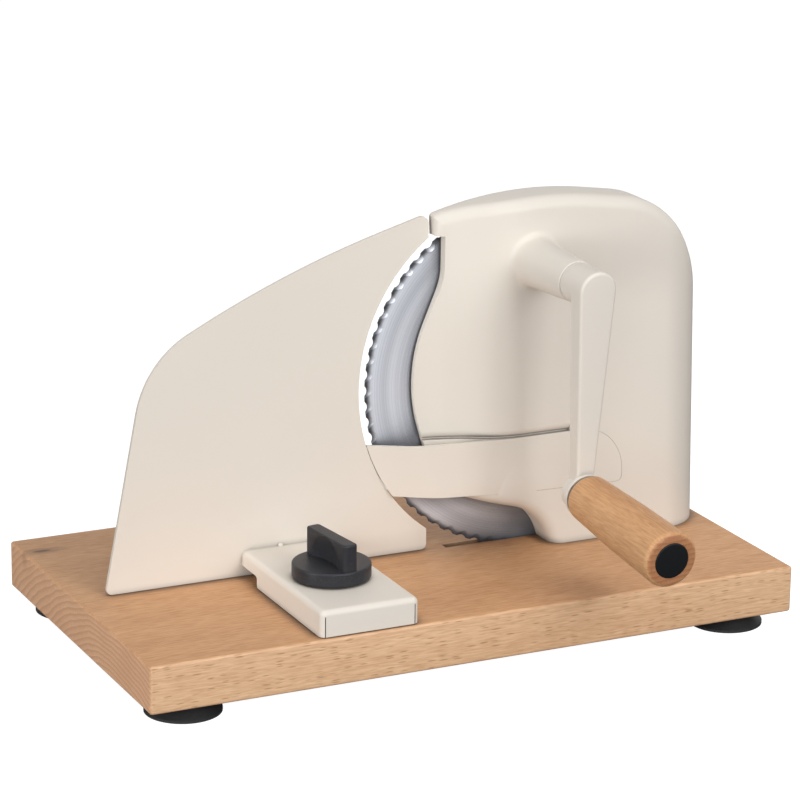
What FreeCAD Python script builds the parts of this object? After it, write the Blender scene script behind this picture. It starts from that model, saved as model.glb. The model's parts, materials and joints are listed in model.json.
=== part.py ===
"""Hand-cranked bread slicer: a wooden board on suction feet, a cast housing that holds a serrated round
blade and its two gears, a crank with a wooden grip, and a sliding fence that sets the slice thickness.

Millimetres. The saved parts have their origin on the table, under the middle of the slicer's length and
depth. +X runs along the board towards the housing, +Y towards the side where the loaf lies, and +Z up. The
sizes below are laid out from the middle of the board; only their Y differs, and save() makes up for it."""

import FreeCAD, Part
import math
import os

os.makedirs("parts", exist_ok=True)
Vector = FreeCAD.Vector

# ---------------------------------------------------------------- board and feet
board_length = 360.0
board_depth = 202.0
board_thick = 25.0
board_edge_r = 1.5
foot_height = 9.0
foot_lip_r = 19.5
foot_neck_r = 12.0
foot_lip_t = 1.4
foot_ring_w = 2.5
foot_hollow = 3.0
foot_inset_x = 26.0
foot_inset_y = 23.0
foot_screw_r = 1.9
foot_screw_head_r = 4.0
foot_screw_head_t = 1.6
foot_screw_length = 17.0
slot_width = 5.0
slot_half_length = 48.0
slot_depth = 9.0

# ---------------------------------------------------------------- blade and cutting plane
blade_r = 95.0
blade_thick = 1.6
blade_teeth = 70
blade_front_y = 0.4
blade_x = 75.0
blade_above_board = 91.0
blade_bevel_w = 9.0
blade_edge_t = 0.6
flute_r = 8.1
flute_slope_deg = 22.0
flute_notch = 1.2

# ---------------------------------------------------------------- gear train
gear_module = 2.0
crank_teeth = 28
blade_gear_teeth = 38
gear_backlash = 0.16
pressure_deg = 20.0
gear_face_w = 5.0
gear_front_y = -8.0
gear_web_t = 3.0
gear_rim_t = 4.5
crank_axis_dx = -8.0

# ---------------------------------------------------------------- housing
front_y = -19.5
rim_y = 3.5
wall = 2.5
front_curve_x = 62.0
front_curve_r = 48.0
front_turn_deg = 30.0
front_ease_r = 72.5
side_curve_r = 28.0
side_curve_x = 149.4
housing_round = 7.0
nose_round = 3.0
nose_front_round = 6.0
blade_gap = 1.3
base_wall_boss_h = 11.0
base_screw_xs = (96.0, 126.0, 156.0)
base_screw_y = -9.5
base_boss_w = 12.0
base_screw_r = 2.0
base_screw_head_r = 4.0
base_screw_head_t = 3.0
base_counterbore = 8.0
cover_gap = 1.3
cover_thick = 1.5
cover_r = 53.0
cover_lobe_margin = 0.5
cover_boss_r = 4.0
cover_screw_r = 1.5
cover_screw_head_r = 2.7
cover_screw_head_t = 0.6
cover_screw_length = 7.0
cover_screw_places = ((-33.0, 33.0), (33.0, 33.0), (-33.0, -33.0), (33.0, -33.0))

# Points of the housing's outline seen from the crank side: x, height above the board, corner radius.
far_foot = (177.7, 0.0, 0.0)
far_side = (174.3, 134.0, 118.0)
shoulder = (145.0, 182.0, 50.0)
crest = (62.0, 194.1, 205.0)
nose_top = (16.5, 181.7, 0.0)
nose_low = (17.0, 171.0, 0.0)
notch_top = (21.5, 171.0, 0.0)
notch_low = (21.5, 148.0, 35.0)
bulge = (0.5, 97.8, 82.0)
toe_back = (20.2, 32.3, 0.0)
toe_front = (74.5, 18.8, 29.0)
near_foot = (81.3, 0.0, 0.0)
housing_outline = (far_foot, far_side, shoulder, crest, nose_top, nose_low, notch_top, notch_low, bulge,
                   toe_back, toe_front, near_foot)

# ---------------------------------------------------------------- crank boss, shaft and bushes
boss_end_y = -65.0
boss_base_r = 13.2
boss_end_r = 10.75
boss_root_r = 3.5
boss_edge_r = 0.6
shaft_r = 5.0
running_gap = 0.05
bush_outer_r = 7.0
bush_length = 12.0
bush_flange_r = 9.5
bush_flange_t = 1.2
end_play = 0.25
shaft_flat = 3.8
ring_groove_r = 4.0
ring_r = 7.5
ring_t = 1.0
shaft_tail = 1.0

# ---------------------------------------------------------------- crank arm and grip
arm_length = 109.4
arm_lean_deg = 4.4
arm_thick = 11.0
arm_thick_low = 7.8
arm_front_y = -87.4
hub_r = 10.25
arm_neck_w = 9.2
arm_lug_r = 9.3
arm_collar_r = 11.6
arm_collar_t = 1.6
arm_edge_r = 1.6
arm_screw_r = 2.5
arm_screw_length = 7.0
grip_gap = 0.4
grip_length = 87.0
grip_root_r = 12.2
grip_end_r = 14.7
grip_root_round = 4.0
grip_end_round = 3.0
grip_swell = 0.5
grip_swell_r = 300.0
pin_r = 4.0
pin_head_r = 6.5
pin_head_t = 2.5
pin_gap = 0.08
plug_r = 9.3
plug_depth = 4.0
plug_proud = 0.5
plug_edge_r = 0.8
pin_pocket = 5.0

# ---------------------------------------------------------------- blade bearing
axle_boss_r = 12.0
axle_press = 9.0
blade_hub_r = 17.0
spigot_r = 9.0
spigot_gap = 0.05
blade_screw_pitch_r = 12.8
blade_screw_r = 1.5
blade_screw_head_r = 2.8
blade_screw_head_t = 1.4
blade_screw_length = 6.5
cap_washer_r = 9.0
cap_washer_t = 0.8
cap_screw_r = 2.5
cap_screw_head_r = 5.0
cap_screw_head_t = 2.4
cap_screw_length = 10.0

# ---------------------------------------------------------------- slice deflector
strip_thick = 2.0
strip_low = 30.5
strip_high = 62.0
strip_tip_rise = 3.0
strip_bend_slant = 0.38
strip_gap = 0.15
strip_arc_gap = 0.2
strip_end_r = 25.0
strip_end_low_r = 3.0
strip_pad = 1.6
strip_stud_r = 3.0
strip_screw_r = 1.25
strip_screw_head_r = 2.8
strip_screw_head_t = 1.3
strip_stud_places = ((92.0, 40.0), (114.0, 40.0))
strip_path = ((122.0, front_y, 0.0), (52.0, front_y, 120.0), (4.0, -13.6, 28.0), (-30.0, 5.8, 0.0))
cove_r = 5.0
cove_depth = 2.6
cove_end_x = 90.0
strip_backing_past = 4.0
sector_past = 1.15

# ---------------------------------------------------------------- fence
fence_thick = 2.0
fence_arc_gap = 3.8
fence_lift = 0.3
fence_travel = 15.0
fence_outline = (
    (-164.2, 0.0, 3.0),
    (-141.4, 119.9, 55.0),
    (-64.1, 159.5, 560.0),
    (15.0, 182.1, 4.0),
    (16.2, 0.0, 3.0),
)
cover_x0 = -89.5
cover_x1 = -36.0
cover_front_y = -99.0
cover_height = 14.0
sheet = 2.0
sheet_bend_r = 3.0
flap_back_y = -19.4
flap_step = 6.0
slit_w = 0.5
slit_height = 10.5
slit_inset = 2.4
weld_r = 1.6
weld_x = -68.0
slide_gap = 0.3
guide_back_y = -20.5
guide_screw_places = ((-78.0, -85.0), (-47.5, -85.0), (-78.0, -28.0), (-47.5, -28.0))
guide_screw_r = 1.9
guide_screw_head_r = 3.8
guide_screw_length = 22.0
insert_r = 5.0
insert_length = 10.0

# ---------------------------------------------------------------- clamp knob
knob_x = -63.5
knob_y = -54.0
knob_r = 20.2
knob_thick = 7.4
knob_edge_r = 1.0
knob_turn_deg = 7.0
wing_length = 38.0
wing_thick = 8.0
wing_height = 14.0
wing_round = 2.2
scoop_r = 30.0
scoop_depth = 3.0
stud_r = 3.0
stud_length = 18.0
stud_in_knob = 5.0
knob_washer_r = 8.0
knob_washer_t = 0.8
slot_side_gap = 0.3

# How far a cutting form passes through the piece that it cuts, and a length beyond everything.
tool_past = 5.0
reach = 400.0

# ---------------------------------------------------------------- places worked out from the sizes above
board_top = foot_height + board_thick
blade_z = board_top + blade_above_board
blade_back_y = blade_front_y + blade_thick
gear_distance = gear_module * (crank_teeth + blade_gear_teeth) / 2.0
crank_x = blade_x + crank_axis_dx
crank_z = blade_z + math.sqrt(gear_distance ** 2 - crank_axis_dx ** 2)
gear_back_y = gear_front_y + gear_face_w
cover_back_y = blade_front_y - cover_gap
cover_face_y = cover_back_y - cover_thick
inner_y = front_y + wall
turn_sin = math.sin(math.radians(front_turn_deg))
turn_cos = math.cos(math.radians(front_turn_deg))
turn_x = front_curve_x - front_curve_r * turn_sin
turn_y = front_y + front_curve_r * (1 - turn_cos)
ease_x = turn_x - front_ease_r * turn_sin
ease_y = turn_y - front_ease_r * turn_cos
arm_back_y = arm_front_y + arm_thick
lug_z = crank_z - arm_length
grip_root_y = arm_front_y - arm_collar_t - grip_gap
fence_arc_r = blade_r + fence_arc_gap
web_front_y = inner_y + axle_press - 0.5 + end_play * 2

# The grip's end reaches furthest to the front, at the rounded edge of its plug; the board's edge is furthest back.
lean = math.radians(arm_lean_deg)
plug_edge_y = grip_root_y - grip_length - plug_proud + plug_edge_r
plug_edge_drop = arm_length - (plug_r - plug_edge_r)
front_reach_y = (arm_front_y + (plug_edge_y - arm_front_y) * math.cos(lean) + plug_edge_drop * math.sin(lean)
                 - plug_edge_r)
middle_y = (front_reach_y + board_depth / 2) / 2


# ---------------------------------------------------------------- plain shapes
def box(x0, x1, y0, y1, z0, z1):
    return Part.makeBox(x1 - x0, y1 - y0, z1 - z0, Vector(x0, y0, z0))


def rod_x(x0, x1, y, z, radius):
    return Part.makeCylinder(radius, x1 - x0, Vector(x0, y, z), Vector(1, 0, 0))


def rod_y(x, z, radius, y0, y1):
    return Part.makeCylinder(radius, y1 - y0, Vector(x, y0, z), Vector(0, 1, 0))


def rod_z(x, y, radius, z0, z1):
    return Part.makeCylinder(radius, z1 - z0, Vector(x, y, z0), Vector(0, 0, 1))


def tube_y(x, z, outer, inner, y0, y1):
    return rod_y(x, z, outer, y0, y1).cut(rod_y(x, z, inner, y0 - 1, y1 + 1))


def rounded_edges(corners, place, closed=True):
    """Edges of a polygon given as (u, v, corner radius); place turns (u, v) into a point in space."""
    count = len(corners)
    ends = []
    for i, (u, v, radius) in enumerate(corners):
        inner_corner = closed or 0 < i < count - 1
        if radius <= 0 or not inner_corner:
            ends.append(((u, v), None, (u, v)))
            continue
        before, after = corners[i - 1], corners[(i + 1) % count]
        a = (before[0] - u, before[1] - v)
        b = (after[0] - u, after[1] - v)
        la, lb = math.hypot(*a), math.hypot(*b)
        a, b = (a[0] / la, a[1] / la), (b[0] / lb, b[1] / lb)
        half = math.acos(max(-1.0, min(1.0, a[0] * b[0] + a[1] * b[1]))) / 2
        cut = radius / math.tan(half)
        bisector = (a[0] + b[0], a[1] + b[1])
        length = math.hypot(*bisector)
        dip = radius / math.sin(half) - radius
        middle = (u + bisector[0] / length * dip, v + bisector[1] / length * dip)
        ends.append(((u + a[0] * cut, v + a[1] * cut), middle, (u + b[0] * cut, v + b[1] * cut)))
    edges = []
    for i, (start, middle, end) in enumerate(ends):
        if middle:
            edges.append(Part.Arc(place(*start), place(*middle), place(*end)).toShape())
        if closed or i < count - 1:
            following = ends[(i + 1) % count][0]
            if math.dist(end, following) > 1e-6:
                edges.append(Part.LineSegment(place(*end), place(*following)).toShape())
    return edges


def prism_x(corners, x0, x1):
    """A rounded polygon in y and z, carried along X."""
    edges = rounded_edges(corners, lambda u, v: Vector(x0, u, v))
    return Part.Face(Part.Wire(edges)).extrude(Vector(x1 - x0, 0, 0))


def prism_y(corners, y0, y1):
    """A rounded polygon in x and z, carried along Y."""
    edges = rounded_edges(corners, lambda u, v: Vector(u, y0, v))
    return Part.Face(Part.Wire(edges)).extrude(Vector(0, y1 - y0, 0))


def turned_y(corners, x, z):
    """A rounded profile of (radius, y) turned round an axis along Y."""
    edges = rounded_edges(corners, lambda u, v: Vector(x + u, v, z))
    return Part.Face(Part.Wire(edges)).revolve(Vector(x, 0, z), Vector(0, 1, 0), 360)


def turned_z(corners, x, y):
    """A rounded profile of (radius, z) turned round an axis along Z."""
    edges = rounded_edges(corners, lambda u, v: Vector(x + u, y, v))
    return Part.Face(Part.Wire(edges)).revolve(Vector(x, y, 0), Vector(0, 0, 1), 360)


def inset(corners, distance):
    """The same polygon, which runs anticlockwise, with every side moved inwards."""
    count = len(corners)
    moved = []
    for i in range(count):
        (u0, v0, _), (u1, v1, _) = corners[i], corners[(i + 1) % count]
        length = math.hypot(u1 - u0, v1 - v0)
        normal = (-(v1 - v0) / length, (u1 - u0) / length)
        moved.append((u0 + normal[0] * distance, v0 + normal[1] * distance, u1 - u0, v1 - v0))
    result = []
    for i in range(count):
        pu, pv, pdu, pdv = moved[i - 1]
        qu, qv, qdu, qdv = moved[i]
        cross = pdu * qdv - pdv * qdu
        t = ((qu - pu) * qdv - (qv - pv) * qdu) / cross
        radius = corners[i][2]
        if radius > 0:
            radius = radius - distance if cross > 0 else radius + distance
        result.append((pu + pdu * t, pv + pdv * t, max(radius, 0.0)))
    return result


def lifted(corners, height):
    return [(u, v + height, radius) for u, v, radius in corners]


def fused(first, *others):
    return first.fuse(list(others)).removeSplitter()


def save(node, *solids):
    """Writes one part, moved so that the origin is under the middle of the slicer's whole depth."""
    shape = solids[0].copy() if len(solids) == 1 else Part.makeCompound(list(solids))
    shape.translate(Vector(0, -middle_y, 0))
    shape.exportStep("parts/" + node + ".step")
    return shape


# ---------------------------------------------------------------- board, feet and their screws
def make_board():
    board = box(-board_length / 2, board_length / 2, -board_depth / 2, board_depth / 2, foot_height, board_top)
    board = board.makeFillet(board_edge_r, board.Edges)
    slot_y = (blade_front_y + blade_back_y) / 2
    holes = [box(blade_x - slot_half_length, blade_x + slot_half_length, slot_y - slot_width / 2,
                 slot_y + slot_width / 2, board_top - slot_depth, board_top + 1)]
    for x, y in foot_places():
        holes.append(rod_z(x, y, foot_screw_r, 0, foot_hollow + foot_screw_head_t + foot_screw_length))
    for x in base_screw_xs:
        holes.append(rod_z(x, base_screw_y, base_screw_r + 0.3, 0, board_top + 1))
        holes.append(rod_z(x, base_screw_y, base_screw_head_r + 1.0, 0, foot_height + base_counterbore))
    for x, y in guide_screw_places:
        holes.append(rod_z(x, y, guide_screw_r, guide_screw_bottom(), board_top + 1))
    return board.cut(Part.makeCompound(holes))


def foot_places():
    x = board_length / 2 - foot_inset_x
    y = board_depth / 2 - foot_inset_y
    return [(sx * x, sy * y) for sx in (-1, 1) for sy in (-1, 1)]


def make_foot(x, y):
    """A rubber suction cup: a neck against the board, flaring to a thin lip round a shallow hollow."""
    hollow_r = foot_lip_r - foot_ring_w
    seat_z = foot_hollow + foot_screw_head_t
    bore = foot_screw_head_r + 0.6
    profile = [
        (foot_screw_r + 0.1, seat_z, 0), (bore, seat_z, 0), (bore, foot_hollow, 0),
        (hollow_r * 0.62, foot_hollow * 0.8, 4.0), (hollow_r, 0, 0), (foot_lip_r, 0, 0),
        (foot_lip_r, foot_lip_t, 0), (foot_neck_r + 1.5, foot_height * 0.62, 5.0),
        (foot_neck_r, foot_height, 0), (foot_screw_r + 0.1, foot_height, 0),
    ]
    return turned_z(profile, x, y)


def make_foot_screw(x, y):
    head_z = foot_hollow
    head = rod_z(x, y, foot_screw_head_r, head_z, head_z + foot_screw_head_t)
    shank = rod_z(x, y, foot_screw_r, head_z, head_z + foot_screw_head_t + foot_screw_length)
    slot = box(x - 0.4, x + 0.4, y - foot_screw_head_r, y + foot_screw_head_r, head_z - 1, head_z + 0.7)
    return fused(head, shank).cut(slot)


# ---------------------------------------------------------------- housing
def front_at(x, depth=0.0):
    """Y of the housing's front skin at x, or of a skin that lies deeper by the given depth. Towards the blade the
    flat front turns back in one arc and levels out again in a second, hollow one."""
    if x >= front_curve_x:
        return front_y + depth
    if x >= turn_x + depth * turn_sin:
        return front_y + front_curve_r - math.sqrt((front_curve_r - depth) ** 2 - (front_curve_x - x) ** 2)
    return ease_y + math.sqrt((front_ease_r + depth) ** 2 - (x - ease_x) ** 2)


def housing_block(depth, rounding):
    """The housing's form, or the form inside its wall: the outline, with the front curved back at the
    blade side, and the outer front edges rounded over."""
    block = prism_y(inset(lifted(housing_outline, board_top), depth) if depth else
                    lifted(housing_outline, board_top), front_y - 1, rim_y)
    right = board_length
    turn = turn_x + depth * turn_sin
    xs = (ease_x, (ease_x + turn) / 2, turn, (turn + front_curve_x) / 2, front_curve_x, right)
    skin = [Vector(x, front_at(x, depth), 0) for x in xs]
    plan = [
        Part.LineSegment(skin[5], Vector(right, rim_y, 0)),
        Part.LineSegment(Vector(right, rim_y, 0), Vector(ease_x, rim_y, 0)),
        Part.LineSegment(Vector(ease_x, rim_y, 0), skin[0]),
        Part.Arc(skin[0], skin[1], skin[2]),
        Part.Arc(skin[2], skin[3], skin[4]),
        Part.LineSegment(skin[4], skin[5]),
    ]
    face = Part.Face(Part.Wire([curve.toShape() for curve in plan]))
    block = block.common(face.extrude(Vector(0, 0, reach))).common(side_block(depth))
    crown = [e for e in block.Edges if on_front(e, depth) and is_crown(e)]
    toe = [e for e in block.Edges if on_front(e, depth) and is_toe(e)]
    return block.makeFillet(rounding, crown + toe)


def side_lean():
    return (far_side[0] - far_foot[0]) / (far_side[1] - far_foot[1])


def side_block(depth):
    """Everything within the front's round turn into the far side, which leans as that side leans."""
    radius = side_curve_r - depth
    centre_y = front_y + side_curve_r
    half = math.sqrt(0.5) * radius
    lean_x = side_lean()
    low = [(u - lean_x * board_top, v) for u, v in (
        (-reach, front_y + depth), (side_curve_x, front_y + depth), (side_curve_x + half, centre_y - half),
        (side_curve_x + radius, centre_y), (-reach, centre_y))]
    points = [Vector(u, v, 0) for u, v in low]
    edges = [
        Part.LineSegment(points[0], points[1]).toShape(),
        Part.Arc(points[1], points[2], points[3]).toShape(),
        Part.LineSegment(points[3], points[4]).toShape(),
        Part.LineSegment(points[4], points[0]).toShape(),
    ]
    return Part.Face(Part.Wire(edges)).extrude(Vector(lean_x * reach, 0, reach))


def middle_of(edge):
    return edge.valueAt((edge.FirstParameter + edge.LastParameter) / 2)


def on_front(edge, depth):
    """Whether an edge lies on the front skin, the curved parts at both ends included."""
    point = middle_of(edge)
    centre = (side_curve_x + side_lean() * (point.z - board_top), front_y + side_curve_r)
    on_side = abs(math.hypot(point.x - centre[0], point.y - centre[1]) - side_curve_r + depth) < 0.03
    return abs(point.y - front_at(point.x, depth)) < 0.01 or (on_side and point.x > centre[0])


def is_crown(edge):
    """Along the top and the far side, but not the nose's own left end or the seam of the front."""
    point = middle_of(edge)
    over_nose = point.z > board_top + (nose_low[1] + nose_top[1]) / 2 and point.x > nose_top[0] + 4
    return over_nose or (point.z > blade_z and point.x > side_curve_x - side_curve_r)


def is_toe(edge):
    """Along the lower left, where the housing comes down to the board beside the blade."""
    point = middle_of(edge)
    low, high = board_top + wall + 1, board_top + toe_back[1] + 1
    return low < point.z < high and toe_back[0] + 3 < point.x < near_foot[0] + 3


def make_housing():
    outer = housing_block(0.0, housing_round)
    boss = turned_y([(0, boss_end_y, 0), (boss_end_r, boss_end_y, boss_edge_r), (boss_base_r, front_y + wall / 2, 0),
                     (0, front_y + wall / 2, 0)], crank_x, crank_z)
    outer = fused(outer, boss)
    outer = outer.makeFillet(boss_root_r, [e for e in outer.Edges if is_boss_root(e)])
    cavity = housing_block(wall, housing_round - wall)
    blade_room = rod_y(blade_x, blade_z, blade_r + blade_gap, blade_front_y - blade_gap, rim_y + 1)
    cavity = cavity.common(box(-reach, reach, -reach, blade_front_y - blade_gap, 0, reach))
    shell = outer.cut(cavity).cut(blade_room)

    additions = [rod_y(blade_x, blade_z, axle_boss_r, inner_y - 0.5, inner_y + axle_press - 0.5)]
    for dx, dz in cover_screw_places:
        x, z = blade_x + dx, blade_z + dz
        additions.append(rod_y(x, z, cover_boss_r, front_at(x) + wall / 2, cover_face_y))
    for x in base_screw_xs:
        additions.append(box(x - base_boss_w / 2, x + base_boss_w / 2, inner_y - 0.5,
                             base_screw_y + base_boss_w / 2, board_top, board_top + base_wall_boss_h))
    additions += strip_backing()
    shell = fused(shell, *[piece.common(outer).cut(blade_room) for piece in additions])

    cuts = [strip_body(strip_gap)]
    cuts.append(rod_y(crank_x, crank_z, bush_outer_r, boss_end_y - 1, inner_y + 1))
    cuts.append(rod_y(crank_x, crank_z, bush_flange_r + 0.5, inner_y, inner_y + 2))
    cuts.append(rod_y(blade_x, blade_z, shaft_r, front_y + 1.2, inner_y + axle_press + 1))
    for dx, dz in cover_screw_places:
        cuts.append(rod_y(blade_x + dx, blade_z + dz, cover_screw_r, cover_face_y - cover_screw_length - 1,
                          cover_face_y + 1))
    for x in base_screw_xs:
        cuts.append(rod_z(x, base_screw_y, base_screw_r, 0, board_top + base_wall_boss_h + 1))
    for x, z in strip_stud_places:
        cuts.append(rod_y(x, board_top + z, strip_stud_r + 0.1, front_y, inner_y + strip_pad + 1))
    cuts += [nose_corner(), nose_front(), cove()]
    return shell.cut(Part.makeCompound(cuts))


def is_boss_root(edge):
    """Where the crank boss meets the housing's front."""
    point = middle_of(edge)
    return on_front(edge, 0.0) and math.hypot(point.x - crank_x, point.z - crank_z) < boss_base_r + 1


def nose_corner():
    """What is taken off the nose's upper left corner to round it."""
    x, z, size = nose_top[0], board_top + nose_top[1], nose_round
    slope = math.atan2(crest[1] - nose_top[1], crest[0] - nose_top[0])
    block = box(x - 1, x + size, front_y - tool_past, rim_y + tool_past, z - size, z + size)
    core = rod_y(x + size, z - size * (1 - math.sin(slope)), size, front_y - 2 * tool_past, rim_y + 2 * tool_past)
    return block.cut(core)


def nose_front():
    """What is taken off the nose's upright front corner to round it."""
    x = nose_top[0] + nose_front_round
    axis_y = front_at(x, nose_front_round)
    touch_x = ease_x + (x - ease_x) * front_ease_r / (front_ease_r + nose_front_round)
    low, high = board_top + nose_low[1], board_top + crest[1] + 1
    core = rod_z(x, axis_y, nose_front_round, low, high)
    return box(nose_top[0] - 1, touch_x, front_y, axis_y, low, high).cut(core)


def along_front(inside, outside, low, high):
    """Three pieces that follow the front from its flat part to the blade side, between two depths under its skin.
    Both bends are cut from rings by triangles, which reach a little past the rings."""
    bend_y = front_y + front_curve_r
    far, far_ease = sector_past * front_curve_r, sector_past * front_ease_r
    bend = [(front_curve_x, bend_y), (front_curve_x, bend_y - far),
            (front_curve_x - far * turn_sin, bend_y - far * turn_cos)]
    ease = [(ease_x, ease_y), (ease_x + far_ease * turn_sin, ease_y + far_ease * turn_cos),
            (ease_x, ease_y + far_ease)]
    straight = box(front_curve_x, cove_end_x, front_y + outside, front_y + inside, low, high)
    first = rod_z(front_curve_x, bend_y, front_curve_r - outside, low, high)
    first = first.cut(rod_z(front_curve_x, bend_y, front_curve_r - inside, low - 1, high + 1))
    second = rod_z(ease_x, ease_y, front_ease_r + inside, low, high)
    second = second.cut(rod_z(ease_x, ease_y, front_ease_r + outside, low - 1, high + 1))
    return [straight, first.common(upright(bend, low, high)), second.common(upright(ease, low, high))]


def upright(points, low, high):
    """A polygon in x and y, carried up."""
    corners = [Vector(x, y, low) for x, y in points]
    return Part.Face(Part.makePolygon(corners + corners[:1])).extrude(Vector(0, 0, high - low))


def cove():
    """The rounded lip over the strip, where the front turns in behind it."""
    low, high = board_top + strip_high, board_top + strip_high + cove_r
    straight, first, second = along_front(cove_depth, -1.0, low, high)
    centre = Vector(front_curve_x, front_y + front_curve_r, high)
    return fused(straight.cut(rod_x(front_curve_x - 1, cove_end_x + 1, front_y + cove_r, high, cove_r)),
                 first.cut(Part.makeTorus(front_curve_r - cove_r, cove_r, centre)),
                 second.cut(Part.makeTorus(front_ease_r + cove_r, cove_r, Vector(ease_x, ease_y, high))))


def strip_backing():
    """The thickened wall behind the strip, and behind the cove over it."""
    over = board_top + strip_high + cove_r + 2
    pieces = along_front(wall + strip_pad, wall - 0.5, board_top + strip_high - 4, over)
    pieces[0] = box(front_curve_x, strip_path[0][0] + strip_backing_past, inner_y - 0.5, inner_y + strip_pad,
                    board_top + strip_low - strip_backing_past, over)
    return pieces


def make_base_screw(x):
    """A pan-head screw that comes up through the board into the housing's foot."""
    top = board_top + base_wall_boss_h - 1.0
    seat = foot_height + base_counterbore
    head = rod_z(x, base_screw_y, base_screw_head_r, seat - base_screw_head_t, seat)
    shank = rod_z(x, base_screw_y, base_screw_r, seat - base_screw_head_t, top)
    slot = box(x - 0.5, x + 0.5, base_screw_y - base_screw_head_r, base_screw_y + base_screw_head_r,
               seat - base_screw_head_t - 1, seat - base_screw_head_t + 1.1)
    return fused(head, shank).cut(slot)


def make_gear_cover():
    y0, y1 = cover_face_y, cover_back_y
    plate = fused(rod_y(blade_x, blade_z, cover_r, y0, y1),
                  rod_y(crank_x, crank_z, gear_module * (crank_teeth / 2 + 1) + cover_lobe_margin, y0, y1))
    holes = [rod_y(blade_x, blade_z, blade_hub_r + 1.0, y0 - 1, y1 + 1),
             rod_y(crank_x, crank_z, shaft_r + 3.5, y0 - 1, y1 + 1)]
    for dx, dz in cover_screw_places:
        holes.append(rod_y(blade_x + dx, blade_z + dz, cover_screw_r + 0.1, y0 - 1, y1 + 1))
    return plate.cut(Part.makeCompound(holes))


def make_cover_screw(dx, dz):
    x, z = blade_x + dx, blade_z + dz
    head = rod_y(x, z, cover_screw_head_r, cover_back_y, cover_back_y + cover_screw_head_t)
    shank = rod_y(x, z, cover_screw_r, cover_face_y - cover_screw_length, cover_back_y + cover_screw_head_t)
    return fused(head, shank)


# ---------------------------------------------------------------- gears
def involute(angle):
    return math.tan(angle) - angle


def gear_outline(teeth, centre_x, centre_z, first_tooth, y):
    """A closed wire of involute teeth, each flank an arc through three points of its involute."""
    pitch_r = gear_module * teeth / 2
    tip_r = pitch_r + gear_module
    root_r = pitch_r - 1.25 * gear_module
    base_r = pitch_r * math.cos(math.radians(pressure_deg))
    half_pitch = math.pi / (2 * teeth) - gear_backlash / (2 * pitch_r)
    start_r = max(base_r, root_r)

    def half_angle(radius):
        pressure = math.acos(min(1.0, base_r / radius))
        return half_pitch + involute(math.radians(pressure_deg)) - involute(pressure)

    def at(radius, angle):
        return Vector(centre_x + radius * math.cos(angle), y, centre_z + radius * math.sin(angle))

    edges = []
    for tooth in range(teeth):
        middle = first_tooth + 2 * math.pi * tooth / teeth
        following = middle + 2 * math.pi / teeth
        low, high = half_angle(start_r), half_angle(tip_r)
        between_r = (start_r + tip_r) / 2
        mid = half_angle(between_r)
        if base_r > root_r + 1e-6:
            edges.append(Part.LineSegment(at(root_r, middle - low), at(base_r, middle - low)))
        edges.append(Part.Arc(at(start_r, middle - low), at(between_r, middle - mid), at(tip_r, middle - high)))
        edges.append(Part.Arc(at(tip_r, middle - high), at(tip_r, middle), at(tip_r, middle + high)))
        edges.append(Part.Arc(at(tip_r, middle + high), at(between_r, middle + mid), at(start_r, middle + low)))
        if base_r > root_r + 1e-6:
            edges.append(Part.LineSegment(at(base_r, middle + low), at(root_r, middle + low)))
        edges.append(Part.Arc(at(root_r, middle + low), at(root_r, (middle + following) / 2),
                              at(root_r, following - low)))
    return Part.Wire([edge.toShape() for edge in edges])


def line_of_centres():
    return math.atan2(blade_z - crank_z, blade_x - crank_x)


def make_crank_gear():
    wire = gear_outline(crank_teeth, crank_x, crank_z, line_of_centres(), gear_front_y)
    gear = Part.Face(wire).extrude(Vector(0, gear_face_w, 0))
    hub_front = inner_y + bush_flange_t + end_play
    gear = fused(gear, rod_y(crank_x, crank_z, bush_flange_r, hub_front, gear_front_y + 1))
    pocket = tube_y(crank_x, crank_z, gear_module * crank_teeth / 2 - gear_module - gear_rim_t, bush_flange_r + 1.5,
                    gear_back_y - gear_web_t / 2, gear_back_y + 1)
    return gear.cut(pocket).cut(shaft_end(running_gap, hub_front - 1, gear_back_y + 1))


def shaft_end(grow, y0, y1):
    """The shaft's end, with the two flats that drive the crank gear."""
    flats = box(crank_x - shaft_flat - grow, crank_x + shaft_flat + grow, y0, y1, crank_z - shaft_r * 2,
                crank_z + shaft_r * 2)
    return rod_y(crank_x, crank_z, shaft_r + grow, y0, y1).common(flats)


def make_blade_gear():
    """A ring of teeth on a thin web; the hub carries the bearing bush and the blade."""
    facing = line_of_centres() + math.pi
    first = facing + math.pi / blade_gear_teeth
    wire = gear_outline(blade_gear_teeth, blade_x, blade_z, first, gear_front_y)
    gear = Part.Face(wire).extrude(Vector(0, gear_face_w, 0))
    inside_r = gear_module * blade_gear_teeth / 2 - 1.25 * gear_module - gear_rim_t
    gear = gear.cut(rod_y(blade_x, blade_z, inside_r, gear_front_y - 1, gear_back_y + 1))
    web = rod_y(blade_x, blade_z, inside_r + 0.5, web_front_y, web_front_y + gear_web_t)
    hub = rod_y(blade_x, blade_z, blade_hub_r, web_front_y, blade_front_y)
    spigot = rod_y(blade_x, blade_z, spigot_r - spigot_gap, blade_front_y - 1, blade_back_y)
    gear = fused(gear, web, hub, spigot)
    holes = [rod_y(blade_x, blade_z, bush_outer_r, web_front_y - 1, blade_back_y + 1)]
    for x, z in blade_screw_places():
        holes.append(rod_y(x, z, blade_screw_r, blade_back_y - blade_screw_length, blade_back_y + 1))
    return gear.cut(Part.makeCompound(holes))


def blade_screw_places():
    turns = [math.radians(90 + 120 * i) for i in range(3)]
    return [(blade_x + blade_screw_pitch_r * math.cos(a), blade_z + blade_screw_pitch_r * math.sin(a)) for a in turns]


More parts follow.
